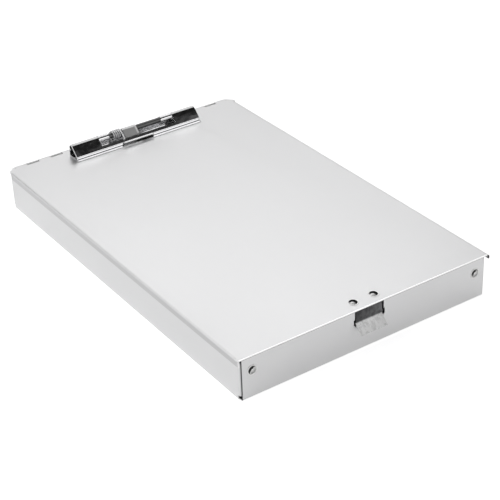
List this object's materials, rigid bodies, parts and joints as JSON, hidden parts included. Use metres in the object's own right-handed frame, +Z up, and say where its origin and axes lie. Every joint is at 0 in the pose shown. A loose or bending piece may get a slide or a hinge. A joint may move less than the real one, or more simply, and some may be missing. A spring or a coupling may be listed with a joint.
{
  "type": "storage clipboard box",
  "caption": "Shallow sheet-metal form box with a full-length hinged writing lid, a low sprung paper clip at the hinge end and a press latch at the front.",
  "frame": {"origin": "centre of the tray's underside, on the surface that the box stands on", "axes": "+X to the right of someone who faces the latch, +Y from the latch to the hinge end, +Z up through the lid"},
  "size_m": [0.2334, 0.3656, 0.0477],
  "materials": {
    "aluminium_sheet": "satin",
    "rivet_nickel": "satin nickel",
    "spring_steel": "satin",
    "chromed_steel": "polished",
    "pin_steel": "drawn"
  },
  "bodies": {
    "tray_assembly": {"tray": "aluminium_sheet", "corner_rivet_front_left": "rivet_nickel", "corner_rivet_front_right": "rivet_nickel", "corner_rivet_back_left": "rivet_nickel", "corner_rivet_back_right": "rivet_nickel", "hinge_pin": "pin_steel"},
    "lid_assembly": {"lid": "aluminium_sheet", "latch_leaf": "spring_steel", "latch_rivet_left": "rivet_nickel", "latch_rivet_right": "rivet_nickel", "clip_base": "chromed_steel", "clip_rivet_left": "rivet_nickel", "clip_rivet_right": "rivet_nickel", "clip_pin": "chromed_steel", "clip_spring": "chromed_steel"},
    "latch_flexing_part": {"latch_tongue": "spring_steel"},
    "clip_jaw_assembly": {"clip_jaw": "chromed_steel"}
  },
  "joints": [
    {"name": "lid_hinge", "type": "hinge", "parent": "tray_assembly", "child": "lid_assembly", "pos_m": [0.0018, 0.17905, 0.03365], "axis": [-1, 0, 0], "range_deg": [0, 185]},
    {"name": "latch_flex", "type": "hinge", "parent": "lid_assembly", "child": "latch_flexing_part", "pos_m": [0.0005, -0.1774, 0.03367], "axis": [1, 0, 0], "range_deg": [0, 7], "stiffness_Nm_per_rad": 0.03, "springref_deg": -6.88},
    {"name": "jaw_hinge", "type": "hinge", "parent": "lid_assembly", "child": "clip_jaw_assembly", "pos_m": [0.0061, 0.1655, 0.0438], "axis": [-1, 0, 0], "range_deg": [0, 40], "stiffness_Nm_per_rad": 0.08, "springref_deg": -22.92, "deforming": ["clip_spring"]}
  ]
}
